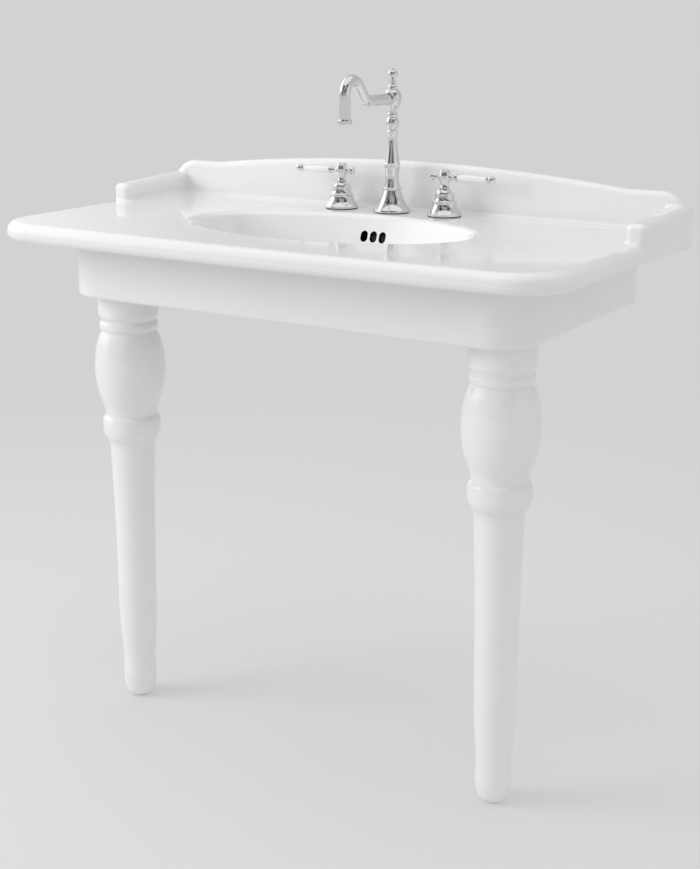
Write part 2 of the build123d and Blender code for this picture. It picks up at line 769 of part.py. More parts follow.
def spout_shank():
    """The threaded brass tube through the deck, with side sockets for the two link pipes."""
    tube = ring(SHANK_RADIUS, 0, -SHANK_LENGTH, 0) + ring(SHANK_NECK, 0, 0, COLUMN_FOOT)
    tube += ring(SPIGOT_RADIUS, 0, COLUMN_FOOT, COLUMN_FOOT + SPIGOT_HEIGHT)
    sockets = [side_socket(turn) for turn in (-90, 90)]
    return tube + sockets - [link_bore(turn) for turn in (-90, 90)]


def side_socket(turn):
    """A round boss on a shank for a link pipe, facing sideways."""
    boss = Rot(0, turn, 0) * ring(LINK_RADIUS + 3.5, 0, 0, SHANK_RADIUS + 8)
    return Pos(0, 0, -LINK_DROP) * boss


def link_bore(turn):
    """The blind hole that a link pipe is pushed into."""
    hole = Rot(0, turn, 0) * ring(LINK_RADIUS, 0, SHANK_RADIUS - 2, SHANK_RADIUS + 9)
    return Pos(0, 0, -LINK_DROP) * hole


def link_pipes():
    """The two pipes that carry the water from the side valves to the spout."""
    start = SHANK_RADIUS - 2
    pipe = Rot(0, 90, 0) * ring(LINK_RADIUS, LINK_RADIUS - 1, start, TAP_SPACING - start)
    return mirrored_pair(at(0, TAP_Y, DECK_HEIGHT - LINK_DROP, pipe))


def tap_gasket(inner):
    """The thin ring between a bell and the deck."""
    return ring(27, inner, 0, GASKET)


def tap_washer():
    """The rubber and steel washer under the deck."""
    top = -DECK_WALL
    return ring(20, SHANK_RADIUS, top - 3, top)


def tap_backnut():
    """The flat nut that clamps a tap to the deck."""
    top = -DECK_WALL - 3
    return hexagon(34, SHANK_RADIUS, top - NUT_HEIGHT, top)


# ---- side valves, drawn with the lever pointing to +X ----
def valve_bell():
    """The stepped bell on the deck, with two raised rings and a domed shoulder."""
    lower = Spline((27.6, 6), (24.4, 10), (21.2, 16), (19.8, 20.5))
    rings = Polyline((19.8, 20.5), (21, 21.5), (21, 23.5), (19, 24.5))
    middle = Spline((19, 24.5), (16.8, 28), (15.8, 33.5))
    upper_ring = Polyline((15.8, 33.5), (16.8, 34.3), (16.8, 36), (14.6, 37))
    shoulder = Spline((14.6, 37), (13.4, 40.4), (10.6, 43.4), (8.6, BELL_TOP))
    inner = Polyline(
        (8.6, BELL_TOP),
        (BARREL_RADIUS - 1.5, BELL_TOP),
        (BARREL_RADIUS - 1.5, BARREL_TOP),
        (BARREL_RADIUS, BARREL_TOP),
        (BARREL_RADIUS, 20),
        (22, GASKET),
        (28.2, GASKET),
        (28.8, 2.5),
        (28.8, 4.8),
        (27.6, 6),
    )
    return lathe(lower, *rings.edges(), middle, *upper_ring.edges(), shoulder, *inner.edges())


def valve_body():
    """The brass body: inlet tail, shank through the deck, side socket and the barrel for the spindle."""
    shank = ring(SHANK_RADIUS, 0, -SHANK_LENGTH, 0) + ring(BARREL_RADIUS, 0, 0, BARREL_TOP)
    tail = ring(INLET_RADIUS, 0, -SHANK_LENGTH - INLET_LENGTH, -SHANK_LENGTH)
    body = shank + tail + side_socket(-90)
    water = ring(INLET_BORE, 0, -SHANK_LENGTH - INLET_LENGTH - 1, -LINK_DROP)
    stem = ring(SPINDLE_RADIUS + PIN_FIT, 0, SPINDLE_FOOT, BARREL_TOP + 1)
    return body - water - stem - link_bore(-90)


def spindle():
    """The turning spindle that carries the handle."""
    lower = ring(SPINDLE_RADIUS, 0, SPINDLE_FOOT + MOVING_GAP, HEAD_FOOT)
    return lower + ring(SPLINE_RADIUS, 0, HEAD_FOOT, SPINDLE_TOP)


def handle_head():
    """The turned head that fits the spindle, with a flared stub on each side."""
    neck = Polyline((7.6, HEAD_FOOT), (8.2, HEAD_FOOT + 1.5), (7, HEAD_FOOT + 4))
    flare = Spline((7, HEAD_FOOT + 4), (7.2, HEAD_FOOT + 9), (9.4, HEAD_FOOT + 13), (10.4, HEAD_FOOT + 17))
    brow = Polyline((10.4, HEAD_FOOT + 17), (10.4, HEAD_FOOT + 21), (9.2, CAP_SEAT), (CAP_BORE, CAP_SEAT))
    inside = Polyline(
        (CAP_BORE, CAP_SEAT),
        (CAP_BORE, SPINDLE_TOP + 1),
        (SPLINE_RADIUS, SPINDLE_TOP + 1),
        (SPLINE_RADIUS, HEAD_FOOT),
        (7.6, HEAD_FOOT),
    )
    head = lathe(*neck.edges(), flare, *brow.edges(), *inside.edges())
    for turn in (90, -90):
        head += Pos(0, 0, HEAD_HEIGHT) * Rot(0, turn, 0) * head_stub()
    rod_hole = Pos(0, 0, HEAD_HEIGHT) * Rot(0, 90, 0) * ring(ROD_RADIUS, 0, CAP_BORE + 0.5, STUB_END + 1)
    return head - rod_hole


def head_stub():
    """A short round stub that narrows and then flares to a rounded end."""
    side = Spline((4.6, 9), (4, 13), (4.3, 17), (5.8, 20.5))
    end = Polyline((5.8, 20.5), (6.3, 21.5), (6.3, 23), (5.6, STUB_END), (0, STUB_END), (0, 9), (4.6, 9))
    return lathe(side, *end.edges())


def handle_screw():
    """The slotted screw that holds the head on its spindle."""
    bottom = SPINDLE_TOP + 1
    top = bottom + 2
    return turned((0, bottom - 1), (2, bottom - 1), (2, bottom), (4, bottom), (3.6, top), (0, top))


def handle_cap():
    """The domed cap pressed into the top of the head."""
    top = CAP_SEAT + 5
    dome = Spline((8.8, CAP_SEAT + 1.2), (7.4, CAP_SEAT + 3.4), (4.2, CAP_SEAT + 4.6), (0, top))
    plug = Polyline(
        (0, top),
        (0, CAP_SEAT - 2),
        (CAP_BORE, CAP_SEAT - 2),
        (CAP_BORE, CAP_SEAT),
        (8.8, CAP_SEAT),
        (8.8, CAP_SEAT + 1.2),
    )
    return lathe(dome, *plug.edges())


def lever():
    """The white porcelain lever, swelling in the middle, with a hole for its rod."""
    side = Spline((4.4, STUB_END), (5.6, 33), (6.1, 45), (5.2, 63), (4, 77))
    inner = Polyline((4, 77), (ROD_RADIUS, 77), (ROD_RADIUS, STUB_END), (4.4, STUB_END))
    return along_x(lathe(side, *inner.edges()))


def lever_rod():
    """The threaded rod through the lever, from the head to the tip."""
    return along_x(ring(ROD_RADIUS, 0, CAP_BORE + 0.5, LEVER_END))


def lever_tip():
    """The chrome ball screwed on the end of the rod, with a small collar."""
    collar = turned((0, 77), (5, 77), (5.2, 78.5), (4, 80), (4, 82), (0, 82))
    ball = Pos(0, 0, LEVER_END + 2.5) * Sphere(TIP_RADIUS)
    socket = ring(ROD_RADIUS, 0, 76, LEVER_END)
    return along_x(collar + ball - socket)


def along_x(shape):
    """A shape turned about Z, laid level at the height of the stubs so that it points to +X."""
    return Pos(0, 0, HEAD_HEIGHT) * Rot(0, 90, 0) * shape


def at_valve(side, shape):
    """The shape on the tap hole of one side: -1 is hot, on the left, and 1 is cold."""
    if side < 0:
        shape = mirror(shape, about=Plane.YZ)
    return at(side * TAP_SPACING, TAP_Y, DECK_HEIGHT, shape)


def valve_nodes(name, side):
    """Every piece that belongs to one side valve alone."""
    makers = {
        "bell": valve_bell,
        "valve_body": valve_body,
        "spindle": spindle,
        "handle_head": handle_head,
        "handle_screw": handle_screw,
        "cap": handle_cap,
        "lever": lever,
        "lever_rod": lever_rod,
        "lever_tip": lever_tip,
    }
    return {f"{name}_{part}": at_valve(side, make()) for part, make in makers.items()}


def on_valves(shape):
    """The shape on both side holes, as separate solids."""
    return [at_valve(side, shape) for side in (-1, 1)]


# ---- all nodes ----
def all_nodes():
    """Node name to its shape, or to a list of separate solids of one kind."""
    left_leg, right_leg = on_legs(leg())
    nodes = {
        "basin": basin(),
        "leg_left": left_leg,
        "leg_right": right_leg,
        "leg_gaskets": on_legs(leg_gasket()),
        "leg_studs": on_legs(leg_stud()),
        "leg_washers": on_legs(leg_washer()),
        "leg_nuts": on_legs(leg_nut()),
        "foot_pads": on_legs(foot_pad()),
        "waste_body": at_waste(waste_body()),
        "waste_gasket": at_waste(waste_gasket()),
        "waste_seal": at_waste(waste_seal()),
        "waste_nut": at_waste(waste_nut()),
        "click_cartridge": at_waste(click_cartridge()),
        "waste_plug": at_waste(waste_plug()),
        "plug_seal": at_waste(plug_seal()),
        "spout_bell": at_spout(spout_bell()),
        "spout_screw": at_spout(spout_screw()),
        "spout_column": at_spout(spout_column()),
        "spout_shank": at_spout(spout_shank()),
        "spout_gasket": at_spout(tap_gasket(SHANK_NECK + 4)),
        "spout_washer": at_spout(tap_washer()),
        "spout_backnut": at_spout(tap_backnut()),
        "swivel_pin": at_spout(swivel_pin()),
        "swivel_rings": [at_spout(shape) for shape in swivel_rings()],
        "finial": at_spout(finial()),
        "spout_arm": at_spout(spout_arm()),
        "aerator_ring": at_spout(aerator_ring()),
        "aerator_insert": at_spout(aerator_insert()),
        "link_pipes": link_pipes(),
        "valve_gaskets": on_valves(tap_gasket(BARREL_RADIUS + 4)),
        "valve_washers": on_valves(tap_washer()),
        "valve_backnuts": on_valves(tap_backnut()),
    }
    nodes.update(valve_nodes("hot", -1))
    nodes.update(valve_nodes("cold", 1))
    return nodes


def write(nodes):
    """Write each node to its own STEP file."""
    os.makedirs("parts", exist_ok=True)
    for name, shape in nodes.items():
        if isinstance(shape, list):
            shape = Compound(children=[solid for part in shape for solid in part.solids()])
        export_step(shape, f"parts/{name}.step")


write(all_nodes())
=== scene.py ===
import math

import bmesh
import bpy
import numpy as np
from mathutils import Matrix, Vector


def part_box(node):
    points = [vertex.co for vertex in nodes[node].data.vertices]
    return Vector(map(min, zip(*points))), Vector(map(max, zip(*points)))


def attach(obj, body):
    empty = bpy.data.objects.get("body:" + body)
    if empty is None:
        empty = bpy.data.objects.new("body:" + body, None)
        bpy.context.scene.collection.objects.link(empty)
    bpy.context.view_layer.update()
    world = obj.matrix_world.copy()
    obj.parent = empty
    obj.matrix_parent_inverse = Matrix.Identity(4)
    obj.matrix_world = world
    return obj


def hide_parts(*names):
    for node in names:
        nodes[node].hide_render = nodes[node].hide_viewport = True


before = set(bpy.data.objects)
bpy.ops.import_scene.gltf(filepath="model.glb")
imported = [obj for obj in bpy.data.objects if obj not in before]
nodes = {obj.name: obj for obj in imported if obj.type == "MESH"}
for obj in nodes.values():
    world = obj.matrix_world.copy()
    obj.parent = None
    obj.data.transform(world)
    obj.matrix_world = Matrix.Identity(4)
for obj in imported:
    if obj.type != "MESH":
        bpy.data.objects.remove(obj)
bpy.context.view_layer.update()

# ---- the camera and the studio: a little above the basin and off to its right, in a plain pale room.
# One large soft light stands high on the left and a weak one hangs overhead. Glaze and chrome mirror
# neither of them, but soft panels, a dark front and a pale back that only glossy rays see.
STUDIO_GREY = 0.645
STUDIO_FILL = 0.72
CAMERA_PLACE = Vector((1.2749, -2.2329, 1.1845))
CAMERA_HEADING = math.radians(32.07)
CAMERA_DIP = math.radians(12.84)
CAMERA_LENS = 62.2
CAMERA_SHIFT = -0.0972
MIRRORED_DARK = 0.04
MIRRORED_DIM = 0.42
MIRRORED_BACK = 0.55
MIRRORED_LEFT = 1.60
MIRRORED_RIGHT = 0.80
MIRRORED_TOP = 0.92
FLOOR_HALF = 30.0
FLOOR_TONE = 0.82
FLOOR_GLOW = 0.45
FLOOR_NEAR = 0.7
FLOOR_FAR = 2.6

camera_data = bpy.data.cameras.new("camera")
camera_data.lens = CAMERA_LENS
camera_data.sensor_width = 36.0
camera_data.shift_y = CAMERA_SHIFT
camera = bpy.data.objects.new("camera", camera_data)
camera.location = CAMERA_PLACE
camera.rotation_euler = (math.pi / 2 - CAMERA_DIP, 0.0, CAMERA_HEADING)
bpy.context.scene.collection.objects.link(camera)
bpy.context.scene.camera = camera
bpy.context.scene.view_settings.view_transform = "Standard"


class Flow:
    """One socket of a node tree, with arithmetic that adds Math nodes after it."""

    def __init__(self, tree, socket=None):
        self.tree = tree
        self.socket = socket

    def node(self, kind, settings, sockets, out=0):
        """A new node: its settings are made first, then its sockets are set or linked."""
        made = self.tree.nodes.new(kind)
        for name, value in settings.items():
            if name == "stops":
                while len(made.color_ramp.elements) < len(value):
                    made.color_ramp.elements.new(1.0)
                for stop, (place, shade) in zip(made.color_ramp.elements, value):
                    stop.position = place
                    stop.color = shade
            else:
                setattr(made, name, value)
        for key, value in sockets.items():
            if isinstance(value, Flow):
                self.tree.links.new(value.socket, made.inputs[key])
            else:
                made.inputs[key].default_value = value
        return Flow(self.tree, made.outputs[out] if len(made.outputs) else None)

    def maths(self, operation, a, b):
        return self.node("ShaderNodeMath", {"operation": operation}, {0: a, 1: b})

    def __add__(self, other):
        return self.maths("ADD", self, other)

    def __radd__(self, other):
        return self.maths("ADD", other, self)

    def __sub__(self, other):
        return self.maths("SUBTRACT", self, other)

    def __rsub__(self, other):
        return self.maths("SUBTRACT", other, self)

    def __mul__(self, other):
        return self.maths("MULTIPLY", self, other)

    def __rmul__(self, other):
        return self.maths("MULTIPLY", other, self)

    def __truediv__(self, other):
        return self.maths("DIVIDE", self, other)

    def __gt__(self, other):
        return self.maths("GREATER_THAN", self, other)

    def over(self, low, high):
        """0 below low and 1 above high, with a straight ramp between."""
        sockets = {"Value": self, "From Min": low, "From Max": high}
        return self.node("ShaderNodeMapRange", {"clamp": True}, sockets)

    def mix(self, first, second):
        """The first colour where this is 0 and the second where it is 1."""
        sockets = {0: self, 6: first, 7: second}
        return self.node("ShaderNodeMix", {"data_type": "RGBA"}, sockets, out=2)


def grey(level):
    return (level, level, level, 1.0)


world = bpy.data.worlds.new("studio")
world.use_nodes = True
world.node_tree.nodes.clear()
sky = Flow(world.node_tree)
facing = sky.node("ShaderNodeTexCoord", {}, {}, out="Generated")
ways = sky.node("ShaderNodeSeparateXYZ", {}, {"Vector": facing})
across, depth, rise = (Flow(sky.tree, end) for end in ways.socket.node.outputs)
clutter = sky.node("ShaderNodeTexNoise", {}, {"Vector": facing, "Scale": 3.2, "Detail": 2.0}, out=0)
front = clutter.over(0.42, 0.58).mix(grey(MIRRORED_DARK), grey(MIRRORED_DIM))
behind = depth.over(-0.30, 0.20)
room = behind.mix(front, grey(MIRRORED_BACK))
left_panel = (across * -1).over(0.60, 0.80) * rise.over(-0.10, 0.30)
right_panel = across.over(0.84, 0.88) * rise.over(-0.20, -0.10)
panels = left_panel.mix(room, grey(MIRRORED_LEFT))
panels = (right_panel * 0.8).mix(panels, grey(MIRRORED_RIGHT))
overhead = rise.over(0.74, 0.82)
studio_seen = overhead.mix(panels, grey(MIRRORED_TOP))
plain = sky.node("ShaderNodeLightPath", {}, {}, out="Is Camera Ray")
glossy = sky.node("ShaderNodeLightPath", {}, {}, out="Is Glossy Ray")
shown = glossy.mix(plain.mix(grey(STUDIO_FILL), grey(STUDIO_GREY)), studio_seen)
light = sky.node("ShaderNodeBackground", {}, {"Color": shown, "Strength": 1.0})
sky.node("ShaderNodeOutputWorld", {}, {"Surface": light})
bpy.context.scene.world = world

# name, place, aim, width, height, power in watts
STUDIO_LIGHTS = [
    ("key_light", (-2.9, -2.4, 2.2), (0.0, -0.25, 0.70), 2.0, 1.6, 60.0),
    ("top_light", (0.1, -0.5, 3.2), (0.0, -0.30, 0.85), 2.4, 1.4, 9.0),
]
for name, place, aim, width, height, power in STUDIO_LIGHTS:
    lamp = bpy.data.lights.new(name, "AREA")
    lamp.shape = "RECTANGLE"
    lamp.size = width
    lamp.size_y = height
    lamp.energy = power
    lamp_object = bpy.data.objects.new(name, lamp)
    lamp_object.location = place
    toward = Vector(aim) - Vector(place)
    lamp_object.rotation_euler = toward.to_track_quat("-Z", "Y").to_euler()
    lamp_object.visible_glossy = False
    bpy.context.scene.collection.objects.link(lamp_object)

floor_mesh = bpy.data.meshes.new("floor")
corners = [(-1, -1), (1, -1), (1, 1), (-1, 1)]
floor_mesh.from_pydata([(x * FLOOR_HALF, y * FLOOR_HALF, 0.0) for x, y in corners], [], [(0, 1, 2, 3)])
floor = bpy.data.objects.new("floor", floor_mesh)
bpy.context.scene.collection.objects.link(floor)
floor_paint = bpy.data.materials.new("floor_paint")
floor_paint.use_nodes = True
floor_paint.node_tree.nodes.clear()
paint = Flow(floor_paint.node_tree)
spot = paint.node("ShaderNodeTexCoord", {}, {}, out="Object")
centred = paint.node("ShaderNodeVectorMath", {"operation": "SUBTRACT"}, {0: spot, 1: (0.0, -0.3, 0.0)})
away = paint.node("ShaderNodeVectorMath", {"operation": "LENGTH"}, {0: centred}, out="Value")
matt = paint.node("ShaderNodeBsdfDiffuse", {}, {"Color": grey(FLOOR_TONE)})
even = paint.node("ShaderNodeEmission", {}, {"Color": grey(STUDIO_GREY)})
fade = FLOOR_GLOW + away.over(FLOOR_NEAR, FLOOR_FAR) * (1 - FLOOR_GLOW)
laid = paint.node("ShaderNodeMixShader", {}, {0: fade, 1: matt, 2: even})
paint.node("ShaderNodeOutputMaterial", {}, {"Surface": laid})
floor_mesh.materials.append(floor_paint)


# ---- basin: one slip-cast vitreous china casting, glazed white all over but for its wall side
# and the end of the neck that the waste is clamped to, which stay bare.
# The inside of the overflow duct is painted near-black as shade.
BARE_CLAY = (0.70, 0.655, 0.59, 1.0)
SHADED_CLAY = (0.63, 0.5895, 0.531, 1.0)
# painted shade: a near-black colour for the faces inside the overflow duct, standing in for the shade deep in
# the passage
DUCT_PAINTED_SHADE = (0.012, 0.012, 0.012, 1.0)
NECK_END = 0.0005
WALL_SIDE = -0.0005
BOWL_BACK = -0.113
BOWL_SLOPE = math.tan(math.radians(20))
DUCT_HALF = 0.0295
DUCT_NEAR = 0.0012
DUCT_FAR = 0.019
DUCT_TOP = 0.825
DUCT_FOOT = 0.785
BASIN_CREASE = math.radians(38)
MERGE = 2e-6


def new_finish(name):
    """An empty material and the flow that its nodes are made with."""
    material = bpy.data.materials.new(name)
    material.use_nodes = True
    material.node_tree.nodes.clear()
    return material, Flow(material.node_tree)


def object_place(flow):
    return flow.node("ShaderNodeTexCoord", {}, {}, out="Object")


def noise(flow, place, scale, detail=2.0, roughness=0.5):
    sockets = {"Vector": place, "Scale": scale, "Detail": detail, "Roughness": roughness}
    return flow.node("ShaderNodeTexNoise", {}, sockets, out=0)


def bump(flow, height, distance, strength=1.0, under=None):
    """A bump of the height map, distance metres deep, on top of another one if given."""
    sockets = {"Strength": strength, "Distance": distance, "Height": height}
    if under is not None:
        sockets["Normal"] = under
    return flow.node("ShaderNodeBump", {}, sockets)


def surface(flow, sockets):
    """The finished surface: one shader with these sockets, wired to the output."""
    shader = flow.node("ShaderNodeBsdfPrincipled", {}, sockets)
    flow.node("ShaderNodeOutputMaterial", {}, {"Surface": shader})
    return shader


def glaze(name, light_tone, dark_tone, speck_tone):
    """White glaze with a faint drift of tone, rare specks, a wavy fired skin, bare clay where marked and
    painted near-black shade on faces marked as the duct.
    """
    material, flow = new_finish(name)
    place = object_place(flow)
    drift = noise(flow, place, 3.5, 3.0)
    clouds = noise(flow, place, 38.0, 2.0)
    tone = (drift * 0.7 + clouds * 0.3).over(0.35, 0.65)
    white = tone.mix(dark_tone, light_tone)
    cells = flow.node("ShaderNodeTexVoronoi", {}, {"Vector": place, "Scale": 95.0}, out="Distance")
    rare = noise(flow, place, 17.0, 0.0) > 0.66
    specks = (1 - cells.over(0.012, 0.030)) * rare
    spotted = (specks * 0.5).mix(white, speck_tone)
    bare = flow.node("ShaderNodeAttribute", {"attribute_name": "bare"}, {}, out="Fac")
    grain = noise(flow, place, 900.0, 3.0, 0.7)
    clay = grain.over(0.3, 0.7).mix(SHADED_CLAY, BARE_CLAY)
    # painted shade: faces marked as the duct are painted near-black in place of the shade inside the passage
    damp = flow.node("ShaderNodeAttribute", {"attribute_name": "damp"}, {}, out="Fac")
    colour = damp.mix(bare.mix(spotted, clay), DUCT_PAINTED_SHADE)
    smear = noise(flow, place, 9.0, 3.0, 0.6)
    gloss = 0.10 + smear.over(0.35, 0.75) * 0.06
    rough = gloss + bare * (0.85 - gloss)
    skin = bump(flow, noise(flow, place, 11.0, 1.0), 0.0016, 0.20)
    peel = bump(flow, noise(flow, place, 210.0, 1.0), 0.00006, 0.35, skin)
    sand = bump(flow, grain * bare, 0.0003, 0.8, peel)
    sockets = {
        "Base Color": colour,
        "Roughness": rough,
        "IOR": 1.52,
        "Coat Weight": (1 - bare) * 0.55,
        "Coat Roughness": 0.06,
        "Coat IOR": 1.5,
        "Normal": sand,
    }
    surface(flow, sockets)
    return material


china = glaze("china_glaze", (0.885, 0.885, 0.875, 1), (0.855, 0.857, 0.850, 1), (0.42, 0.36, 0.30, 1))


def merged_copy(node, name, crease):
    """A new piece with the CAD node's shape, its triangles joined and its normals smooth up to a crease."""
    mesh = nodes[node].data.copy()
    mesh.name = name
    work = bmesh.new()
    work.from_mesh(mesh)
    bmesh.ops.remove_doubles(work, verts=work.verts, dist=MERGE)
    for edge in work.edges:
        edge.smooth = len(edge.link_faces) == 2 and edge.calc_face_angle(0.0) < crease
    for face in work.faces:
        face.smooth = True
    work.to_mesh(mesh)
    work.free()
    return piece_of(mesh, name)


def piece_of(mesh, name):
    piece = bpy.data.objects.new(name, mesh)
    bpy.context.scene.collection.objects.link(piece)
    return piece


def put_on(piece, material):
    """The piece with this material alone."""
    piece.data.materials.clear()
    piece.data.materials.append(material)
    return piece


def mark(piece, name, is_marked):
    """Marks the faces for which a rule holds, for the material to read."""
    marks = piece.data.attributes.new(name, "FLOAT", "FACE")
    for face, value in zip(piece.data.polygons, marks.data):
        value.value = 1.0 if is_marked(face) else 0.0


basin = merged_copy("basin", "basin_china", BASIN_CREASE)
basin_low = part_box("basin")[0]
basin_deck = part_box("spout_gasket")[0].z
leg_low, leg_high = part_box("leg_left")


def unglazed(face):
    """The wall side, and the flat ring at the very bottom of the waste neck."""
    centre = face.center
    wall_side = centre.y > WALL_SIDE and face.normal.y > 0.9
    neck_end = centre.z < basin_low.z + NECK_END
    return wall_side or neck_end


def in_duct(face):
    """The overflow slots and the passage behind them, which get painted near-black shade."""
    centre = face.center
    bowl_wall = BOWL_BACK - (basin_deck - centre.z) * BOWL_SLOPE
    behind_wall = DUCT_NEAR < centre.y - bowl_wall < DUCT_FAR
    return behind_wall and abs(centre.x) < DUCT_HALF and DUCT_FOOT < centre.z < DUCT_TOP


mark(basin, "bare", unglazed)
# painted shade: marks the duct faces to be painted near-black as shade
mark(basin, "damp", in_duct)
put_on(basin, china)
settle = basin.modifiers.new("even_normals", "WEIGHTED_NORMAL")
settle.keep_sharp = True
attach(basin, "frame")
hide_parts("basin")


# ---- legs: two hollow china legs, cast in a turned pattern with a baluster bulge between a bead
# and a ring, tapering to a small round foot. They are glazed all over but for their two ends.
LEG_SEGMENTS = 112
LEG_STEPS = 7
LEG_CREASE = math.radians(32)
LEG_END = 0.0002
SAME_PLACE = 1e-6
LEG_AXIS = (leg_low + leg_high) / 2


def smooth_line(points, steps):
    """Points along the natural cubic curve through the given ones."""
    knots = np.array(points, float)
    gaps = np.linalg.norm(np.diff(knots, axis=0), axis=1)
    count = len(knots)
    system = np.zeros((count, count))
    pull = np.zeros((count, 2))
    system[0, 0] = system[-1, -1] = 1.0
    slopes = np.diff(knots, axis=0) / gaps[:, None]
    for i in range(1, count - 1):
        system[i, i - 1] = gaps[i - 1]
        system[i, i] = 2 * (gaps[i - 1] + gaps[i])
        system[i, i + 1] = gaps[i]
        pull[i] = 6 * (slopes[i] - slopes[i - 1])
    bends = np.linalg.solve(system, pull)
    line = []
    for i in range(count - 1):
        for t in np.linspace(0, 1, steps, endpoint=False):
            a, b = 1 - t, t
            cubic = ((a**3 - a) * bends[i] + (b**3 - b) * bends[i + 1]) * gaps[i] ** 2 / 6
            line.append(tuple(a * knots[i] + b * knots[i + 1] + cubic))
    return line + [tuple(knots[-1])]


def turned_mesh(name, outline, centre, segments):
    """A solid of revolution about an upright line, from a closed outline of (radius, height)."""
    work = bmesh.new()
    rings = []
    for radius, height in outline:
        spots = []
        for i in range(segments):
            angle = 2 * math.pi * i / segments
            x = centre[0] + radius * math.cos(angle)
            y = centre[1] + radius * math.sin(angle)
            spots.append(work.verts.new((x, y, height)))
        rings.append(spots)
    for first, second in zip(rings, rings[1:] + rings[:1]):
        for i in range(segments):
            j = (i + 1) % segments
            work.faces.new((first[i], first[j], second[j], second[i]))
    bmesh.ops.recalc_face_normals(work, faces=work.faces)
    for edge in work.edges:
        edge.smooth = edge.calc_face_angle(0.0) < LEG_CREASE
    for face in work.faces:
        face.smooth = True
    mesh = bpy.data.meshes.new(name)
    work.to_mesh(mesh)
    work.free()
    return mesh


LEG_TOP = leg_high.z
PAD_PROUD = leg_low.z
shaft = [(0.014, PAD_PROUD), (0.021, 0.006), (0.0275, 0.024), (0.0288, 0.042), (0.0278, 0.060)]
shaft += [(0.0296, 0.100), (0.0335, 0.260), (0.038, 0.455)]
cove = [(0.038, 0.455), (0.0388, 0.4615), (0.0409, 0.4685), (0.044, 0.474)]
torus = [(0.044, 0.474), (0.0476, 0.483), (0.049, 0.497), (0.0475, 0.508), (0.0434, 0.514)]
bulge = [(0.0434, 0.517), (0.0455, 0.527), (0.0512, 0.543), (0.057, 0.566), (0.0596, 0.594)]
bulge += [(0.0574, 0.622), (0.0522, 0.645), (0.0476, 0.656)]
bead = [(0.0466, 0.659), (0.0486, 0.663), (0.0493, 0.668), (0.0482, 0.673), (0.0462, 0.676)]
collar = [(0.047, 0.680), (0.0495, 0.684), (0.0506, 0.700), (0.052, LEG_TOP - 0.002)]
leg_inside = [(0.050, LEG_TOP), (0.005, LEG_TOP), (0.005, LEG_TOP - 0.022), (0.026, LEG_TOP - 0.034)]
leg_inside += [(0.026, 0.100), (0.013, 0.040), (0.013, PAD_PROUD)]
leg_outline = []
for stretch in (shaft, cove, torus, bulge, bead, collar):
    line = smooth_line(stretch, LEG_STEPS)
    if leg_outline and (Vector(leg_outline[-1]) - Vector(line[0])).length < SAME_PLACE:
        line = line[1:]
    leg_outline += line
leg_outline += leg_inside


def leg_end(face):
    """The flat top under the web and the ring on the foot pad."""
    return face.center.z > LEG_TOP - LEG_END or face.center.z < PAD_PROUD + LEG_END


for side, node in ((-1, "leg_left"), (1, "leg_right")):
    axis = (side * abs(LEG_AXIS.x), LEG_AXIS.y)
    leg_mesh = turned_mesh(node + "_china", leg_outline, axis, LEG_SEGMENTS)
    leg = piece_of(leg_mesh, node + "_china")
    mark(leg, "bare", leg_end)
    put_on(leg, china)
    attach(leg, "frame")
    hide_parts(node)


# ---- chromed brass: the spout, its bell, the waste and the two side taps. Each was turned or bent,
# polished and plated, and has slight waves and finger smudges.
def chrome_plate(name, tone, smudged):
    """Bright chrome: a mirror with soft smudges and the slight waves of polishing."""
    material, flow = new_finish(name)
    place = object_place(flow)
    smudge = noise(flow, place, 55.0, 4.0, 0.65).over(0.45, 0.75)
    colour = (smudge * 0.6).mix(tone, smudged)
    rough = 0.05 + smudge * 0.075
    dimple = bump(flow, noise(flow, place, 90.0, 1.0), 0.00004, 0.20)
    surface(flow, {"Base Color": colour, "Metallic": 1.0, "Roughness": rough, "Normal": dimple})
    return material


chrome = chrome_plate("chrome_plate", (0.80, 0.81, 0.82, 1), (0.72, 0.729, 0.738, 1))
CHROMED = ["waste_body", "waste_plug", "spout_bell", "spout_column", "finial", "spout_arm", "aerator_ring"]
CHROMED += ["link_pipes", "hot_bell", "cold_bell", "hot_handle_head", "cold_handle_head"]
CHROMED += ["hot_cap", "cold_cap", "hot_lever_tip", "cold_lever_tip"]
for node in CHROMED:
    put_on(nodes[node], chrome)


# ---- brass: the shanks, backnuts, valve bodies and the swivel pin, turned and left unplated,
# with a dull film of tarnish and the marks of the lathe.
def bare_metal(name, bright, tarnish, roughness):
    """Turned metal with blotchy tarnish and lathe marks running round it."""
    material, flow = new_finish(name)
    place = object_place(flow)
    film = noise(flow, place, 70.0, 5.0, 0.65).over(0.35, 0.70)
    colour = film.mix(bright, tarnish)
    rough = roughness + film * 0.18
    stretch = flow.node("ShaderNodeMapping", {}, {"Vector": place, "Scale": (30.0, 30.0, 2200.0)})
    marks = bump(flow, noise(flow, stretch, 1.0, 3.0), 0.00006, 0.5)
    pits = bump(flow, noise(flow, place, 900.0, 2.0), 0.00003, 0.4, marks)
    surface(flow, {"Base Color": colour, "Metallic": 1.0, "Roughness": rough, "Normal": pits})
    return material


brass = bare_metal("turned_brass", (0.76, 0.56, 0.25, 1), (0.50, 0.36, 0.17, 1), 0.24)
steel = bare_metal("zinc_steel", (0.62, 0.63, 0.64, 1), (0.42, 0.43, 0.44, 1), 0.28)
BRASS_NODES = ["waste_nut", "spout_shank", "spout_backnut", "valve_backnuts", "swivel_pin"]
BRASS_NODES += ["hot_valve_body", "cold_valve_body", "hot_spindle", "cold_spindle"]
STEEL_NODES = ["leg_studs", "leg_washers", "leg_nuts", "spout_screw", "hot_handle_screw", "cold_handle_screw"]
STEEL_NODES += ["hot_lever_rod", "cold_lever_rod"]
for node in BRASS_NODES:
    put_on(nodes[node], brass)
for node in STEEL_NODES:
    put_on(nodes[node], steel)


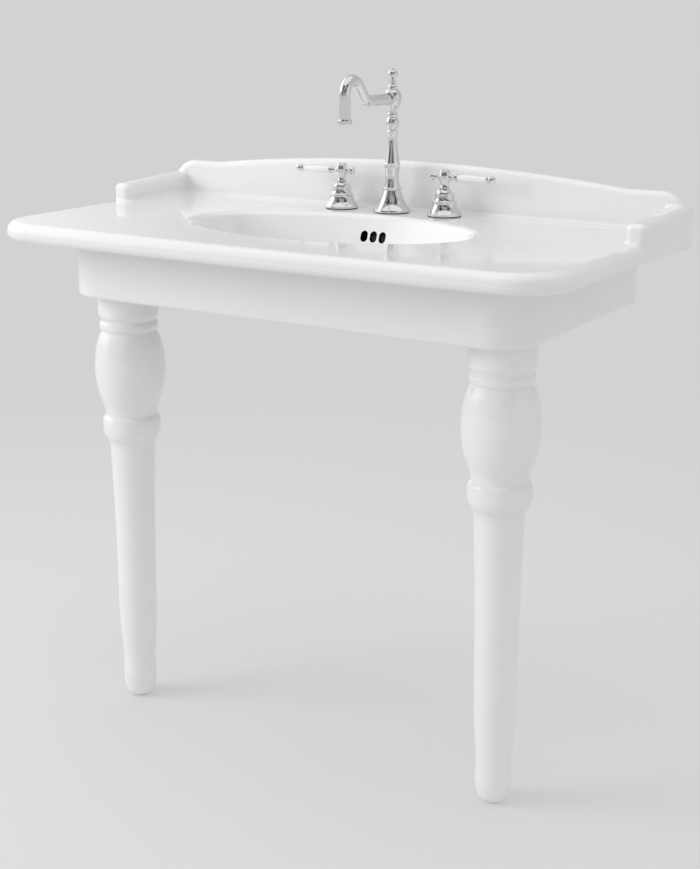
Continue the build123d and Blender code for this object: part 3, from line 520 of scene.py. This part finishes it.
# ---- porcelain levers: two small fired handles, whiter and glossier than the basin, threaded on
# steel rods between the tap heads and the ball tips.
porcelain = glaze("porcelain_lever", (0.90, 0.90, 0.89, 1), (0.875, 0.875, 0.865, 1), (0.55, 0.50, 0.45, 1))
for node in ("hot_lever", "cold_lever"):
    put_on(nodes[node], porcelain)


# ---- rubber and plastic: gaskets, seals, washers and foot pads in black rubber, and the click
# mechanism and the aerator insert in moulded plastic.
def moulded(name, light_tone, dark_tone, roughness, grain):
    """A moulded skin: slightly uneven in tone, with a fine grain."""
    material, flow = new_finish(name)
    place = object_place(flow)
    blotch = noise(flow, place, 45.0, 4.0).over(0.3, 0.7)
    colour = blotch.mix(light_tone, dark_tone)
    rough = roughness + noise(flow, place, 160.0, 3.0) * 0.2
    relief = bump(flow, noise(flow, place, grain, 3.0), 0.00005, 0.6)
    surface(flow, {"Base Color": colour, "Roughness": rough, "Normal": relief})
    return material


rubber = moulded("black_rubber", (0.030, 0.030, 0.031, 1), (0.018, 0.018, 0.018, 1), 0.55, 1200.0)
plastic = moulded("grey_plastic", (0.42, 0.43, 0.44, 1), (0.36, 0.37, 0.38, 1), 0.32, 700.0)
RUBBER_NODES = ["leg_gaskets", "foot_pads", "waste_seal", "plug_seal", "swivel_rings", "waste_gasket"]
RUBBER_NODES += ["spout_gasket", "valve_gaskets", "spout_washer", "valve_washers"]
for node in RUBBER_NODES:
    put_on(nodes[node], rubber)
for node in ("click_cartridge", "aerator_insert"):
    put_on(nodes[node], plastic)


# ---- threads: fine ridges rolled on the supply tails, the leg studs and the tail of the waste,
# one spiral for each place, in the metal of the piece that it runs round.
SIDES_A_TURN = 28
RIDGE = 0.00035
INLET_RADIUS = 0.0083
INLET_LENGTH = 0.0125
INLET_PITCH = 0.0018
INLET_MARGIN = 0.0007
TAP_SPACING = 0.1
STUD_RADIUS = 0.005
STUD_PITCH = 0.0015
STUD_MARGIN = 0.0008
WASTE_RADIUS = 0.020
WASTE_LENGTH = 0.0075
WASTE_PITCH = 0.0018
WASTE_MARGIN = 0.001


def geometry_tree(name, inputs):
    """An empty geometry tree with one mesh in, one mesh out, and the named inputs."""
    tree = bpy.data.node_groups.new(name, "GeometryNodeTree")
    tree.interface.new_socket("Geometry", in_out="INPUT", socket_type="NodeSocketGeometry")
    for label, kind in inputs:
        tree.interface.new_socket(label, in_out="INPUT", socket_type="NodeSocket" + kind)
    tree.interface.new_socket("Geometry", in_out="OUTPUT", socket_type="NodeSocketGeometry")
    flow = Flow(tree)
    source = tree.nodes.new("NodeGroupInput")
    ends = {end.name: Flow(tree, end) for end in source.outputs if end.name}
    return tree, flow, ends


def grown(name, tree, starts, values):
    """A new piece: the tree's result on a mesh of start points, made a plain mesh."""
    seed = bpy.data.meshes.new(name + "_starts")
    seed.from_pydata(starts, [], [])
    host = piece_of(seed, name + "_host")
    grow = host.modifiers.new("grow", "NODES")
    grow.node_group = tree
    for item in tree.interface.items_tree:
        if item.in_out == "INPUT" and item.name in values:
            grow[item.identifier] = values[item.name]
    bpy.context.view_layer.update()
    mesh = bpy.data.meshes.new_from_object(host.evaluated_get(bpy.context.evaluated_depsgraph_get()))
    host.modifiers.remove(grow)
    bpy.data.objects.remove(host)
    return piece_of(mesh, name)


thread_inputs = [("Radius", "Float"), ("Length", "Float"), ("Pitch", "Float"), ("Metal", "Material")]
thread_tree, thread, ends = geometry_tree("thread", thread_inputs)
spiral_sockets = {
    "Resolution": SIDES_A_TURN,
    "Rotations": ends["Length"] / ends["Pitch"],
    "Start Radius": ends["Radius"],
    "End Radius": ends["Radius"],
    "Height": ends["Length"],
}
spiral = thread.node("GeometryNodeCurveSpiral", {}, spiral_sockets)
section = thread.node("GeometryNodeCurvePrimitiveCircle", {}, {"Resolution": 4, "Radius": RIDGE})
ridge_sockets = {"Curve": spiral, "Profile Curve": section, "Fill Caps": True}
ridge = thread.node("GeometryNodeCurveToMesh", {}, ridge_sockets)
placed = thread.node("GeometryNodeInstanceOnPoints", {}, {"Points": ends["Geometry"], "Instance": ridge})
joined = thread.node("GeometryNodeRealizeInstances", {}, {"Geometry": placed})
faced = thread.node("GeometryNodeSetMaterial", {}, {"Geometry": joined, "Material": ends["Metal"]})
thread.node("NodeGroupOutput", {}, {"Geometry": faced})


def thread_on(name, radius, starts, length, pitch, metal):
    """A spiral ridge upwards from each start point, as one fixed piece."""
    values = {"Radius": radius, "Length": length, "Pitch": pitch, "Metal": metal}
    piece = grown(name, thread_tree, starts, values)
    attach(piece, "frame")


gasket_low, gasket_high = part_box("spout_gasket")
tap_line = (gasket_low.y + gasket_high.y) / 2
inlets = []
for node in ("hot_valve_body", "cold_valve_body"):
    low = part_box(node)[0]
    inlets.append((math.copysign(TAP_SPACING, low.x), tap_line, low.z + INLET_MARGIN))
thread_on("inlet_threads", INLET_RADIUS, inlets, INLET_LENGTH, INLET_PITCH, brass)
nut_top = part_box("leg_nuts")[1].z
stud_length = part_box("leg_studs")[1].z - nut_top - 2 * STUD_MARGIN
studs = [(side * abs(LEG_AXIS.x), LEG_AXIS.y, nut_top + STUD_MARGIN) for side in (-1, 1)]
thread_on("stud_threads", STUD_RADIUS, studs, stud_length, STUD_PITCH, steel)
waste_low, waste_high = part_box("waste_body")
waste_middle = (waste_low + waste_high) / 2
tail = [(waste_middle.x, waste_middle.y, waste_low.z + WASTE_MARGIN)]
thread_on("waste_thread", WASTE_RADIUS, tail, WASTE_LENGTH, WASTE_PITCH, chrome)


# ---- the grip of the aerator ring: a row of small upright ribs round the outlet, chromed with it.
rib_inputs = [("Ribs", "Int"), ("Ring Radius", "Float"), ("Rib Radius", "Float"), ("Height", "Float")]
rib_tree, rib, ends = geometry_tree("ribs", rib_inputs + [("Plating", "Material")])
spots = rib.node("GeometryNodeMeshCircle", {}, {"Vertices": ends["Ribs"], "Radius": ends["Ring Radius"]})
bar_sockets = {"Vertices": 8, "Radius": ends["Rib Radius"], "Depth": ends["Height"]}
bar = rib.node("GeometryNodeMeshCylinder", {}, bar_sockets)
row = rib.node("GeometryNodeInstanceOnPoints", {}, {"Points": spots, "Instance": bar})
spread = rib.node("GeometryNodeInstanceOnPoints", {}, {"Points": ends["Geometry"], "Instance": row})
joined = rib.node("GeometryNodeRealizeInstances", {}, {"Geometry": spread})
faced = rib.node("GeometryNodeSetMaterial", {}, {"Geometry": joined, "Material": ends["Plating"]})
rib.node("NodeGroupOutput", {}, {"Geometry": faced})
ring_low, ring_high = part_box("aerator_ring")
ring_middle = (ring_low + ring_high) / 2
ring_middle.z = ring_low.z + 0.0035
rib_values = {
    "Ribs": 30,
    "Ring Radius": (ring_high.x - ring_low.x) / 2 - 0.0001,
    "Rib Radius": 0.00055,
    "Height": 0.0042,
    "Plating": chrome,
}
ribs = grown("aerator_ribs", rib_tree, [tuple(ring_middle)], rib_values)
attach(ribs, "spout")
